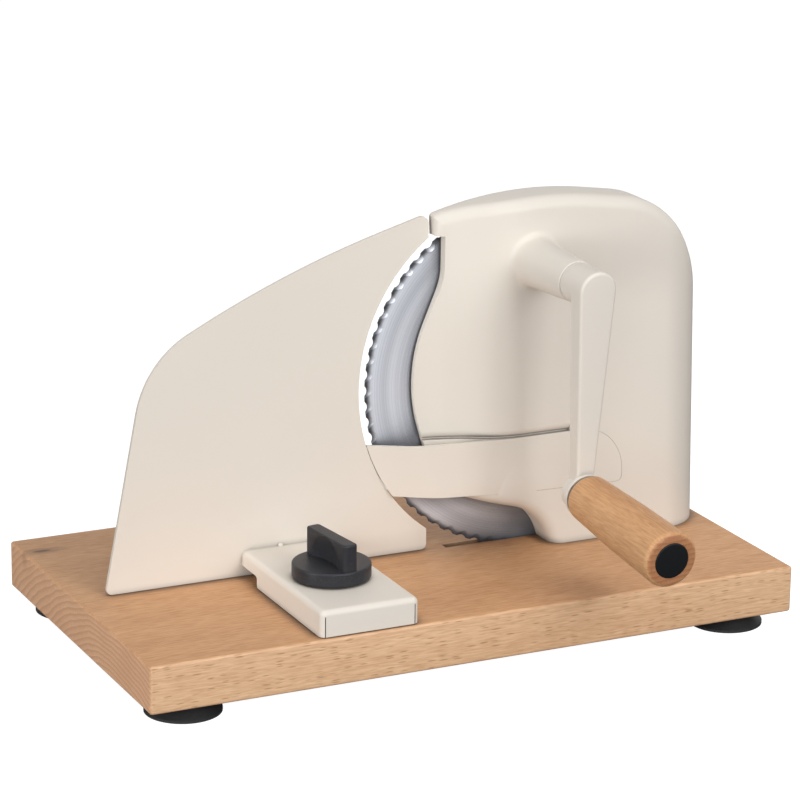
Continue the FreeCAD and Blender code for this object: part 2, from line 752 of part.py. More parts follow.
# ---------------------------------------------------------------- blade and its bearing
def make_blade():
    """A disc ground to a bevel on the crank side, with round flutes that leave a wavy, toothed edge."""
    edge_y = blade_back_y - blade_edge_t
    disc = turned_y([(spigot_r, blade_front_y, 0), (blade_r - blade_bevel_w, blade_front_y, 0),
                     (blade_r, edge_y, 0), (blade_r, blade_back_y, 0), (spigot_r, blade_back_y, 0)],
                    blade_x, blade_z)
    flute = make_flute()
    flutes = []
    for tooth in range(blade_teeth):
        turned = flute.copy()
        turned.rotate(Vector(blade_x, 0, blade_z), Vector(0, 1, 0), 360.0 * tooth / blade_teeth)
        flutes.append(turned)
    holes = [rod_y(x, z, blade_screw_r + 0.15, blade_front_y - 1, blade_back_y + 1) for x, z in blade_screw_places()]
    return disc.cut(Part.makeCompound(flutes)).cut(Part.makeCompound(holes))


def make_flute():
    """One grinding of the edge: a shallow trough that sinks outwards and runs out just short of the next one."""
    slope = math.radians(flute_slope_deg)
    along = Vector(math.cos(slope), math.sin(slope), 0)
    normal = Vector(math.sin(slope), -math.cos(slope), 0)
    deepest = Vector(blade_x + blade_r - flute_notch, blade_back_y, blade_z)
    trough = Part.makeCylinder(flute_r, 4 * blade_bevel_w, deepest + normal * flute_r - along * (2 * blade_bevel_w),
                               along)
    half_pitch = math.pi * (blade_r - 1) / blade_teeth
    return trough.common(box(blade_x + blade_r - blade_bevel_w, blade_x + blade_r + 1, blade_front_y - 1,
                             blade_back_y + 1, blade_z - half_pitch, blade_z + half_pitch))


def make_blade_screw(x, z):
    head = rod_y(x, z, blade_screw_head_r, blade_back_y, blade_back_y + blade_screw_head_t)
    shank = rod_y(x, z, blade_screw_r, blade_back_y - blade_screw_length, blade_back_y + blade_screw_head_t)
    slot = box(x - 0.35, x + 0.35, blade_back_y + blade_screw_head_t - 0.6, blade_back_y + blade_screw_head_t + 1,
               z - blade_screw_head_r, z + blade_screw_head_r)
    return fused(head, shank).cut(slot)


def make_axle():
    y0, y1 = front_y + 1.2, axle_end_y()
    axle = rod_y(blade_x, blade_z, shaft_r, y0, y1)
    return axle.cut(rod_y(blade_x, blade_z, cap_screw_r, y1 - cap_screw_length, y1 + 1))


def axle_end_y():
    return blade_back_y + end_play


def make_blade_bush():
    return tube_y(blade_x, blade_z, bush_outer_r, shaft_r + running_gap, web_front_y - end_play, blade_back_y)


def make_cap_screw():
    y0 = axle_end_y() + cap_washer_t
    head = rod_y(blade_x, blade_z, cap_screw_head_r, y0, y0 + cap_screw_head_t)
    head = head.makeFillet(1.2, [e for e in head.Edges if abs(middle_of(e).y - y0 - cap_screw_head_t) < 0.01
                                 and e.Length > 1 and e.Closed])
    shank = rod_y(blade_x, blade_z, cap_screw_r, y0 - cap_washer_t - cap_screw_length + 1, y0 + 1)
    slot = box(blade_x - cap_screw_head_r, blade_x + cap_screw_head_r, y0 + cap_screw_head_t - 1.0,
               y0 + cap_screw_head_t + 1, blade_z - 0.6, blade_z + 0.6)
    return fused(head, shank).cut(slot)


# ---------------------------------------------------------------- crank shaft, bushes, ring
def make_shaft():
    front = arm_front_y + 2.5
    tail = gear_back_y + ring_t + shaft_tail
    shaft = rod_y(crank_x, crank_z, shaft_r, front, inner_y + bush_flange_t)
    shaft = fused(shaft, shaft_end(0.0, inner_y + bush_flange_t, tail))
    groove = tube_y(crank_x, crank_z, shaft_r + 1, ring_groove_r - 0.5, gear_back_y + 0.1, gear_back_y + 0.1 + ring_t)
    return shaft.cut(groove).cut(make_arm_screw())


def make_front_bush():
    return tube_y(crank_x, crank_z, bush_outer_r, shaft_r + running_gap, boss_end_y, boss_end_y + bush_length)


def make_rear_bush():
    """The inner bush, whose flange takes the push of the crank gear."""
    bore = shaft_r + running_gap
    return fused(tube_y(crank_x, crank_z, bush_outer_r, bore, inner_y - bush_length, inner_y),
                 tube_y(crank_x, crank_z, bush_flange_r, bore, inner_y, inner_y + bush_flange_t))


def make_ring():
    """A spring clip in the shaft's groove, open on one side."""
    y0 = gear_back_y + 0.1
    ring = tube_y(crank_x, crank_z, ring_r, ring_groove_r - 0.5, y0, y0 + ring_t - 0.1)
    gap = box(crank_x - 2.0, crank_x + 2.0, y0 - 1, y0 + ring_t + 1, crank_z, crank_z + ring_r + 1)
    return ring.cut(gap)


# ---------------------------------------------------------------- crank arm, grip and pin
def leaning(shape):
    """Tips a piece that is built square to the crank's axis to the angle at which the arm leans in."""
    tipped = shape.copy()
    tipped.rotate(Vector(crank_x, arm_front_y, crank_z), Vector(1, 0, 0), arm_lean_deg)
    return tipped


def make_arm_screw():
    """The grub screw in the hub's far side, which bites the shaft."""
    end_x = crank_x + hub_r - 0.8
    return rod_x(end_x - arm_screw_length, end_x, (arm_back_y + boss_end_y) / 2, crank_z, arm_screw_r)


def make_arm():
    """A flat arm that leans in and narrows to a round lug, with a collar where the grip meets it."""
    slope = math.tan(math.radians(arm_lean_deg))
    eye_z = crank_z - arm_length * math.cos(math.radians(arm_lean_deg))
    top, bottom = crank_z + hub_r + 1, eye_z - arm_lug_r - 1
    low_front_y = arm_front_y + (crank_z - bottom) * slope
    side = prism_x([(arm_front_y - (top - crank_z) * slope, top, 0), (low_front_y, bottom, 0),
                    (low_front_y + arm_thick_low, bottom, 0), (arm_back_y, crank_z - hub_r, 0), (arm_back_y, top, 0)],
                   crank_x - 2 * arm_lug_r, crank_x + 2 * arm_lug_r)
    y0, y1 = arm_front_y - 5, low_front_y + arm_thick
    web = prism_y([(crank_x - hub_r, crank_z, 0), (crank_x - arm_neck_w / 2, eye_z, 0),
                   (crank_x + arm_neck_w / 2, eye_z, 0), (crank_x + hub_r, crank_z, 0)], y0, y1)
    plate = fused(rod_y(crank_x, crank_z, hub_r, y0, y1), web).common(side)
    plate = plate.makeFillet(arm_edge_r, [e for e in plate.Edges if on_lean(e) and middle_of(e).z > eye_z + 0.5])
    lug = rod_y(crank_x, eye_z, arm_lug_r, y0, y1).common(side)
    lug = lug.makeFillet(arm_edge_r, [e for e in lug.Edges if on_lean(e)])
    collar = rod_y(crank_x, lug_z, arm_collar_r, arm_front_y - arm_collar_t, arm_front_y + 0.6)
    collar = leaning(collar.makeFillet(0.5, [e for e in collar.Edges if e.Closed]))
    arm = fused(plate, lug, collar, rod_y(crank_x, crank_z, hub_r, arm_front_y + 4, boss_end_y - end_play))
    arm = arm.cut(leaning(rod_y(crank_x, lug_z, pin_r, arm_front_y - arm_collar_t - 1, arm_back_y + 1)))
    arm = arm.cut(rod_y(crank_x, crank_z, shaft_r, arm_front_y + 2.5, boss_end_y))
    return arm.cut(rod_x(crank_x, crank_x + hub_r + 1, (arm_back_y + boss_end_y) / 2, crank_z, arm_screw_r))


def on_lean(edge):
    """Whether an edge lies in the arm's leaning front face."""
    point = middle_of(edge)
    slope = math.tan(math.radians(arm_lean_deg))
    return abs(point.y - arm_front_y - (crank_z - point.z) * slope) < 0.01


def make_grip():
    outer_y = grip_root_y - grip_length
    pin_bore = pin_r + pin_gap
    profile = [
        (pin_bore, grip_root_y, 0), (grip_root_r, grip_root_y, grip_root_round),
        ((grip_root_r + grip_end_r) / 2 + grip_swell, (grip_root_y + outer_y) / 2, grip_swell_r),
        (grip_end_r, outer_y, grip_end_round), (plug_r, outer_y, 0), (plug_r, outer_y + plug_depth, 0),
        (pin_head_r + 0.4, outer_y + plug_depth, 0), (pin_head_r + 0.4, outer_y + plug_depth + pin_pocket, 0),
        (pin_bore, outer_y + plug_depth + pin_pocket, 0),
    ]
    return leaning(turned_y(profile, crank_x, lug_z))


def make_pin():
    """The steel pin that is riveted into the arm's lug and on which the grip turns."""
    seat_y = grip_root_y - grip_length + plug_depth + pin_pocket - end_play
    return leaning(fused(rod_y(crank_x, lug_z, pin_r, seat_y, arm_front_y + arm_thick_low),
                         rod_y(crank_x, lug_z, pin_head_r, seat_y - pin_head_t, seat_y)))


def make_plug():
    outer_y = grip_root_y - grip_length
    return leaning(turned_y([(0, outer_y - plug_proud, 0), (plug_r, outer_y - plug_proud, plug_edge_r),
                             (plug_r, outer_y + plug_depth, 0), (0, outer_y + plug_depth, 0)], crank_x, lug_z))


# ---------------------------------------------------------------- slice deflector
def strip_body(grow):
    """A band that runs from the housing's face across the blade and ends along the fence's arc. Its plan is carried
    up on a slant, so that its bends run as the fence's arc does."""
    outer = rounded_edges(strip_path, lambda u, v: Vector(u, v, 0), closed=False)
    inner = rounded_edges([(u, v + strip_thick, r - strip_thick if r else 0) for u, v, r in strip_path],
                          lambda u, v: Vector(u, v, 0), closed=False)
    start = Part.LineSegment(inner[0].Vertexes[0].Point, outer[0].Vertexes[0].Point).toShape()
    end = Part.LineSegment(outer[-1].Vertexes[-1].Point, inner[-1].Vertexes[-1].Point).toShape()
    wire = Part.Wire(Part.__sortEdges__(outer + inner + [start, end]))
    low, high = board_top + strip_low - grow, board_top + strip_high + grow
    face = Part.Face(wire)
    face.translate(Vector(strip_bend_slant * (board_top + strip_high), 0, 0))
    band = face.extrude(Vector(-strip_bend_slant * reach, 0, reach))
    right = strip_path[0][0] + grow
    tip_x = strip_path[-1][0]
    outline = prism_y([(tip_x, low + strip_tip_rise, 0), (right, low, strip_end_low_r + grow),
                       (right, high, strip_end_r + grow), (tip_x, high, 0)], -reach / 2, reach / 2)
    band = band.common(outline)
    return band.common(rod_y(blade_x, blade_z, fence_arc_r - strip_arc_gap + grow, -reach / 2, reach / 2))


def make_strip():
    strip = strip_body(0.0)
    back = front_y + strip_thick
    studs = [rod_y(x, board_top + z, strip_stud_r, back - 0.5, inner_y + strip_pad) for x, z in strip_stud_places]
    strip = fused(strip, *studs)
    holes = [rod_y(x, board_top + z, strip_screw_r, back - 0.5, inner_y + strip_pad + 1)
             for x, z in strip_stud_places]
    return strip.cut(Part.makeCompound(holes))


def make_strip_screw(x, z):
    y0 = inner_y + strip_pad
    head = rod_y(x, board_top + z, strip_screw_head_r + 1.0, y0, y0 + strip_screw_head_t)
    return fused(head, rod_y(x, board_top + z, strip_screw_r, front_y + strip_thick - 0.5, y0 + 0.5))


# ---------------------------------------------------------------- fence with its folded cover
def make_fence():
    plate = prism_y([(u, v + board_top + fence_lift, r) for u, v, r in reversed(fence_outline)], blade_front_y,
                    blade_front_y + fence_thick)
    return plate.cut(rod_y(blade_x, blade_z, fence_arc_r, blade_front_y - 1, blade_front_y + fence_thick + 1))


def make_cover():
    """A sheet folded down on three sides over the guide block; its neck is welded to the fence."""
    low, top = board_top + fence_lift, board_top + cover_height
    outer = box(cover_x0, cover_x1, cover_front_y, blade_front_y + tool_past, low - tool_past, top)
    outer = outer.makeFillet(sheet_bend_r, [
        e for e in outer.Edges if on_fold(e, cover_x0, cover_x1, cover_front_y, top)])
    inner = box(cover_x0 + sheet, cover_x1 - sheet, cover_front_y + sheet, blade_front_y + 2 * tool_past,
                low - 2 * tool_past, top - sheet)
    inner = inner.makeFillet(sheet_bend_r - sheet, [
        e for e in inner.Edges if on_fold(e, cover_x0 + sheet, cover_x1 - sheet, cover_front_y + sheet, top - sheet)])
    body = outer.cut(inner).common(box(-reach, reach, cover_front_y - 1, blade_front_y, low, top + 1))
    notch = prism_x([(flap_back_y, low - 1, 0), (flap_back_y, low + flap_step, 2.0), (reach, low + flap_step, 0),
                     (reach, low - 1, 0)], cover_x0 - 1, cover_x1 + 1)
    cuts = [notch, knob_slot()]
    for x in (cover_x0 + slit_inset, cover_x1 - slit_inset):
        cuts.append(box(x - slit_w / 2, x + slit_w / 2, cover_front_y - 1, cover_front_y + sheet + 0.6,
                        low - 1, low + slit_height))
    body = body.cut(Part.makeCompound(cuts))
    weld = Part.makeSphere(weld_r, Vector(weld_x, blade_front_y - weld_r / 4, top))
    weld = weld.common(box(-reach, reach, -reach, blade_front_y, top - sheet / 2, reach))
    return fused(body, weld)


def on_fold(edge, x0, x1, y0, top):
    """The upper edges along both sides and the front, and the two upright front corners."""
    point = middle_of(edge)
    side = abs(point.x - x0) < 0.01 or abs(point.x - x1) < 0.01
    front = abs(point.y - y0) < 0.01
    upper = abs(point.z - top) < 0.01
    return (side and upper) or (front and upper) or (side and front)


def knob_slot():
    """The slot in the cover that lets the fence slide past the knob's stud."""
    half = stud_r + slot_side_gap
    back = knob_y + fence_travel
    z0, z1 = board_top + cover_height - sheet - 2, board_top + cover_height + 1
    return fused(box(knob_x - half, knob_x + half, knob_y, back, z0, z1),
                 rod_z(knob_x, knob_y, half, z0, z1), rod_z(knob_x, back, half, z0, z1))


# ---------------------------------------------------------------- guide block under the cover
def guide_top():
    return board_top + cover_height - sheet - slide_gap


def guide_screw_bottom():
    return guide_top() - guide_screw_length


def make_guide():
    x0, x1 = cover_x0 + sheet + slide_gap, cover_x1 - sheet - slide_gap
    y0 = cover_front_y + sheet + slide_gap + 1.0
    block = box(x0, x1, y0, guide_back_y, board_top, guide_top())
    block = block.makeChamfer(1.5, [e for e in block.Edges if middle_of(e).z > board_top + 1])
    holes = [rod_z(knob_x, knob_y, insert_r, guide_top() - insert_length, guide_top() + 1),
             rod_z(knob_x, knob_y, stud_r + 0.5, board_top, guide_top())]
    for x, y in guide_screw_places:
        holes.append(rod_z(x, y, guide_screw_r + 0.2, board_top - 1, guide_top() + 1))
        holes.append(countersink(x, y, 0.1))
    return block.cut(Part.makeCompound(holes))


def countersink(x, y, grow):
    depth = guide_screw_head_r - guide_screw_r
    top = guide_top() - 0.3
    cone = Part.makeCone(guide_screw_r + grow, guide_screw_head_r + grow, depth, Vector(x, y, top - depth))
    return fused(cone, rod_z(x, y, guide_screw_head_r + grow, top, guide_top() + 1)) if grow else cone


def make_guide_screw(x, y):
    cone = countersink(x, y, 0.0)
    top = guide_top() - 0.3
    cross = box(x - 2, x + 2, y - 0.35, y + 0.35, top - 1.2, top + 1)
    return fused(cone, rod_z(x, y, guide_screw_r, guide_screw_bottom(), top - 0.5)).cut(cross)


def make_insert():
    ring = rod_z(knob_x, knob_y, insert_r, guide_top() - insert_length, guide_top())
    return ring.cut(rod_z(knob_x, knob_y, stud_r + running_gap, board_top, guide_top() + 1))


# ---------------------------------------------------------------- clamp knob
def make_knob():
    """A round disc with an upright wing, scooped on both sides for the fingers."""
    low = board_top + cover_height + knob_washer_t
    top = low + knob_thick
    disc = rod_z(knob_x, knob_y, knob_r, low, top)
    disc = disc.makeFillet(knob_edge_r, [e for e in disc.Edges if e.Closed])
    wing = box(-wing_thick / 2, wing_thick / 2, -wing_length / 2, wing_length / 2, 0, wing_height + 1)
    upright = [e for e in wing.Edges if abs(middle_of(e).z - (wing_height + 1) / 2) < 0.01]
    wing = wing.makeFillet(wing_round, upright)
    wing = wing.makeFillet(knob_edge_r, [e for e in wing.Edges if abs(middle_of(e).z - wing_height - 1) < 0.01])
    reach_out = wing_thick / 2 + scoop_r - scoop_depth
    scoops = [Part.makeSphere(scoop_r, Vector(side * reach_out, 0, 2.0)) for side in (-1, 1)]
    wing = wing.cut(scoops[0]).cut(scoops[1])
    wing.rotate(Vector(0, 0, 0), Vector(0, 0, 1), knob_turn_deg)
    wing.translate(Vector(knob_x, knob_y, top - 1))
    return fused(disc, wing).cut(rod_z(knob_x, knob_y, stud_r, low - 1, low + stud_in_knob))


def make_stud():
    top = board_top + cover_height + knob_washer_t + stud_in_knob
    return rod_z(knob_x, knob_y, stud_r, top - stud_length, top)


def make_knob_washer():
    z0 = board_top + cover_height
    disc = rod_z(knob_x, knob_y, knob_washer_r, z0 + 0.1, z0 + knob_washer_t)
    return disc.cut(rod_z(knob_x, knob_y, stud_r, z0 - 1, z0 + 2))


# ---------------------------------------------------------------- the parts
save("base_board", make_board())
save("suction_feet", *[make_foot(x, y) for x, y in foot_places()])
save("foot_screws", *[make_foot_screw(x, y) for x, y in foot_places()])
save("housing_shell", make_housing())
save("housing_screws", *[make_base_screw(x) for x in base_screw_xs])
save("gear_cover", make_gear_cover())
save("gear_cover_screws", *[make_cover_screw(dx, dz) for dx, dz in cover_screw_places])
save("slice_deflector", make_strip())
save("deflector_screws", *[make_strip_screw(x, z) for x, z in strip_stud_places])
save("front_bush", make_front_bush())
save("rear_bush", make_rear_bush())
save("crank_shaft", make_shaft())
save("crank_gear", make_crank_gear())
save("shaft_retaining_ring", make_ring())
save("crank_arm", make_arm())
save("crank_arm_screw", make_arm_screw())
save("handle_pin", make_pin())
save("handle_grip", make_grip())
save("handle_end_plug", make_plug())
save("blade_axle", make_axle())
save("blade_bush", make_blade_bush())
save("blade_gear", make_blade_gear())
save("slicing_blade", make_blade())
save("blade_screws", *[make_blade_screw(x, z) for x, z in blade_screw_places()])
save("axle_washer", tube_y(blade_x, blade_z, cap_washer_r, cap_screw_r + 0.2, axle_end_y(),
                           axle_end_y() + cap_washer_t))
save("axle_screw", make_cap_screw())
save("fence_plate", make_fence())
save("clamp_cover", make_cover())
save("guide_block", make_guide())
save("guide_block_screws", *[make_guide_screw(x, y) for x, y in guide_screw_places])
save("threaded_insert", make_insert())
save("clamp_knob", make_knob())
save("knob_stud", make_stud())
save("knob_washer", make_knob_washer())
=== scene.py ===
"""The looks of a hand-cranked bread slicer, laid over its solids.

Metres. +X runs along the board towards the housing, +Y towards the side where the loaf lies, +Z up."""

import json
import math

import bpy
import numpy as np
from mathutils import Matrix, Vector

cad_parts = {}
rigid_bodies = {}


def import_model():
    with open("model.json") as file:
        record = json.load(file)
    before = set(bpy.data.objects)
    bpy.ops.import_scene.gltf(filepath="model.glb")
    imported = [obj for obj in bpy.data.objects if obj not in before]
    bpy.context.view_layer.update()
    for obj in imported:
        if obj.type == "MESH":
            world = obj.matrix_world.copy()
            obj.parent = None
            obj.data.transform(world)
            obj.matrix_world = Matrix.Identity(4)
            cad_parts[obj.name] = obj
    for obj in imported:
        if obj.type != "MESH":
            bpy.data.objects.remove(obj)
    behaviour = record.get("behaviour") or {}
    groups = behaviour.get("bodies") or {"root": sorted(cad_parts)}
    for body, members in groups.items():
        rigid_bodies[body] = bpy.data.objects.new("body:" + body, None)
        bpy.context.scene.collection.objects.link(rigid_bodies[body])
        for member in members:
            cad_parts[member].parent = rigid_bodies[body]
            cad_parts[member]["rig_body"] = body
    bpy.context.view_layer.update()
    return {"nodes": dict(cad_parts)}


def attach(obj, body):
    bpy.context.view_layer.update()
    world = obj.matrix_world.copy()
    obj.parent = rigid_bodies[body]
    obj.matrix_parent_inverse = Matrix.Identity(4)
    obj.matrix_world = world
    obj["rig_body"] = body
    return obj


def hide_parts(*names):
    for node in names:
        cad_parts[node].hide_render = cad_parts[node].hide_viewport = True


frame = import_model()
scene = bpy.context.scene

# ---------------------------------------------------------------- camera
# A long lens stands a metre and three quarters off, to the left of the crank side and a little above the board.
lens_mm = 150.34
sensor_mm = 36.0
nearest_seen, farthest_seen = 0.05, 20.0
camera_place = Vector((-0.72315, -1.46233, 0.61583))
camera_azimuth = math.radians(-25.784)
camera_elevation = math.radians(16.664)
camera_roll = math.radians(0.695)

camera_data = bpy.data.cameras.new("camera")
camera_data.lens = lens_mm
camera_data.sensor_width = sensor_mm
camera_data.clip_start = nearest_seen
camera_data.clip_end = farthest_seen
camera = bpy.data.objects.new("camera", camera_data)
scene.collection.objects.link(camera)
scene.camera = camera
turned_round = Matrix.Rotation(camera_azimuth, 4, "Z")
tipped_up = Matrix.Rotation(math.pi / 2 - camera_elevation, 4, "X")
rolled = Matrix.Rotation(camera_roll, 4, "Z")
camera.matrix_world = Matrix.Translation(camera_place) @ turned_round @ tipped_up @ rolled
scene.view_settings.view_transform = "Standard"

# ---------------------------------------------------------------- studio
# A white floor in white surroundings. The main lamp stands in front on the right, a weaker one in front on the
# left, one hangs overhead, and a low one lights the left end.
white = (1.0, 1.0, 1.0, 1.0)
surround_seen = 1.0
surround_light = 0.13
floor_half = 6.0
floor_drop = 0.0002
floor_seen = (0.42, 0.42, 0.42, 1.0)
floor_glow = 0.95
floor_bounce = (0.20, 0.20, 0.20, 1.0)
lamp_aim = Vector((0.0, 0.0, 0.12))
lamps = {
    # place, width, height, watts
    "right_lamp": ((0.45, -1.75, 0.90), 0.9, 0.9, 19.0),
    "front_lamp": ((-0.80, -1.95, 0.60), 1.4, 1.0, 12.5),
    "top_lamp": ((0.1, -0.2, 1.8), 1.1, 1.1, 10.5),
    "left_lamp": ((-1.9, -0.5, 0.35), 0.8, 0.6, 17.0),
}


def shader(tree, kind, sockets=None, **settings):
    """Adds a shader node; settings are its own properties, sockets gives each input a value or a link."""
    node = tree.nodes.new("ShaderNode" + kind)
    for name, value in settings.items():
        setattr(node, name, value)
    for name, value in (sockets or {}).items():
        if isinstance(value, bpy.types.NodeSocket):
            tree.links.new(value, node.inputs[name])
        else:
            node.inputs[name].default_value = value
    return node


def worked_out(tree, operation, *numbers, **settings):
    """One operation on numbers or links: the result's socket."""
    return shader(tree, "Math", dict(enumerate(numbers)), operation=operation, **settings).outputs[0]


def emptied(tree):
    """Clears a node tree and returns it."""
    tree.nodes.clear()
    return tree


def new_material(name):
    """An empty material; returns it and its node tree."""
    material = bpy.data.materials.new(name)
    material.use_nodes = True
    return material, emptied(material.node_tree)


world = bpy.data.worlds.new("surroundings")
scene.world = world
world.use_nodes = True
tree = emptied(world.node_tree)
ray = shader(tree, "LightPath")
straight_or_through = worked_out(tree, "ADD", ray.outputs["Is Camera Ray"], ray.outputs["Is Transmission Ray"])
in_view = worked_out(tree, "ADD", straight_or_through, ray.outputs["Is Glossy Ray"], use_clamp=True)
lighting = shader(tree, "Background", {"Color": white, "Strength": surround_light})
backdrop = shader(tree, "Background", {"Color": white, "Strength": surround_seen})
surroundings = shader(tree, "MixShader", {0: in_view, 1: lighting.outputs[0], 2: backdrop.outputs[0]})
shader(tree, "OutputWorld", {"Surface": surroundings.outputs[0]})

floor_mesh = bpy.data.meshes.new("floor")
floor_mesh.from_pydata([(-floor_half, -floor_half, -floor_drop), (floor_half, -floor_half, -floor_drop),
                        (floor_half, floor_half, -floor_drop), (-floor_half, floor_half, -floor_drop)],
                       [], [(0, 1, 2, 3)])
floor = bpy.data.objects.new("floor", floor_mesh)
scene.collection.objects.link(floor)

floor_white, tree = new_material("floor_white")
ray = shader(tree, "LightPath")
matte = shader(tree, "BsdfDiffuse", {"Color": floor_seen})
glow = shader(tree, "Emission", {"Color": white, "Strength": floor_glow})
shown = shader(tree, "AddShader", {0: matte.outputs[0], 1: glow.outputs[0]})
bounce = shader(tree, "BsdfDiffuse", {"Color": floor_bounce})
both = shader(tree, "MixShader", {0: ray.outputs["Is Camera Ray"], 1: bounce.outputs[0], 2: shown.outputs[0]})
shader(tree, "OutputMaterial", {"Surface": both.outputs[0]})
floor_mesh.materials.append(floor_white)

for name, (place, width, height, watts) in lamps.items():
    light = bpy.data.lights.new(name, "AREA")
    light.shape = "RECTANGLE"
    light.size = width
    light.size_y = height
    light.energy = watts
    lamp = bpy.data.objects.new(name, light)
    scene.collection.objects.link(lamp)
    facing = (Vector(place) - lamp_aim).to_track_quat("Z", "Y").to_matrix().to_4x4()
    lamp.matrix_world = Matrix.Translation(place) @ facing

# ---------------------------------------------------------------- base board
# Oiled beech, sawn with the grain along its length. Growth rings show as flat arches on the ends, short wavy
# streaks on all long faces, and brown ray flecks on the two long edges. A small knot lies near the back left.
board_pale = (0.850, 0.570, 0.350, 1.0)
board_dark = (0.520, 0.275, 0.140, 1.0)
oiled_face = (0.815, 0.700, 0.580, 1.0)
fleck_brown = (0.330, 0.150, 0.062, 1.0)
end_brown = (0.900, 0.510, 0.320, 1.0)
end_redness = 0.40
knot_brown = (0.075, 0.036, 0.020, 1.0)
knot_place = (-0.170, 0.113, 0.034)
knot_oval = (130.0, 380.0, 200.0)
core_rim, core_full, core_depth = 1.1, 0.35, 0.85
halo_rim, halo_full, halo_depth = 2.6, 0.9, 0.30
pith_place = (0.0, -0.020, -0.012)
year_width = 0.0027
ring_flatness = (0.0, 0.45, 1.0)
ring_bend = 0.010
late_wood = 2.2
# Each stretch is in lengths of a pattern per metre, along the grain and twice across it.
bend_stretch = (2.5, 18.0, 18.0)
fibre_stretch = (95.0, 1150.0, 1150.0)
drift_stretch = (7.0, 45.0, 45.0)
fleck_stretch = (135.0, 1100.0, 1100.0)
fibre_curl = 0.5
streak_low, streak_high = 0.32, 0.68
fibre_strength, drift_strength = 0.52, 0.26
ring_on_faces, ring_on_ends = 0.05, 1.0
fleck_from, fleck_sure = 0.58, 0.78
dash_rim, dash_core = 0.40, 0.20
dash_relief = -0.5
fleck_on_faces, fleck_on_edges = 0.15, 0.62
grain_bump, grain_depth = 0.25, 0.0002
end_from, end_sure = 0.75, 0.97
wood_smooth, wood_rough = 0.44, 0.58
wood_gloss = 0.35
# Painted shade where other parts stand close, as along the housing's foot and the fence, and how near and how shut
# in a place must be for it.
wood_painted_shade = (0.10, 0.05, 0.025, 1.0)
wood_nook_reach, wood_nook_open, wood_nook_closed = 0.008, 0.92, 0.55
# How dark the painted shade in nooks gets at its fullest.
painted_shade_depth = 0.85


def vectors_worked_out(tree, operation, *vectors):
    """One operation on vectors or links: the result's socket, which for LENGTH is a number."""
    node = shader(tree, "VectorMath", dict(enumerate(vectors)), operation=operation)
    return node.outputs["Value" if operation == "LENGTH" else "Vector"]


def ramp(tree, value, start, stop, low=0.0, high=1.0, smooth=False):
    """Low where value is at start or short of it, high where it is at stop or past it, and a slope between."""
    slope = "SMOOTHSTEP" if smooth else "LINEAR"
    return shader(tree, "MapRange", {0: value, 1: start, 2: stop, 3: low, 4: high},
                  interpolation_type=slope).outputs[0]


def laid_over(tree, share, under, over, way="MIX"):
    """The colour under, with the colour over laid on it by share."""
    return shader(tree, "Mix", {0: share, 6: under, 7: over}, data_type="RGBA", blend_type=way).outputs[2]


def noise(tree, vector, scale, detail, distortion=0.0):
    """The strength of a noise at each point."""
    return shader(tree, "TexNoise", {"Vector": vector, "Scale": scale, "Detail": detail,
                                     "Distortion": distortion}).outputs["Fac"]


def own_place(tree):
    """Each point's place in the object's own metres."""
    return shader(tree, "TexCoord").outputs["Object"]


def relief(tree, height, strength, depth):
    """A normal that makes height look up to depth deep."""
    return shader(tree, "Bump", {"Height": height, "Strength": strength, "Distance": depth}).outputs[0]


def surface(tree, sockets):
    """Closes a material with its main shader."""
    skin = shader(tree, "BsdfPrincipled", sockets)
    shader(tree, "OutputMaterial", {"Surface": skin.outputs[0]})


def new_group(name, inputs, outputs):
    """A shader node group with its sockets; returns the group, its input node and its output node."""
    group = bpy.data.node_groups.new(name, "ShaderNodeTree")
    for label, kind, value in inputs:
        socket = group.interface.new_socket(label, in_out="INPUT", socket_type="NodeSocket" + kind)
        socket.default_value = value
    for label, kind in outputs:
        group.interface.new_socket(label, in_out="OUTPUT", socket_type="NodeSocket" + kind)
    return group, group.nodes.new("NodeGroupInput"), group.nodes.new("NodeGroupOutput")


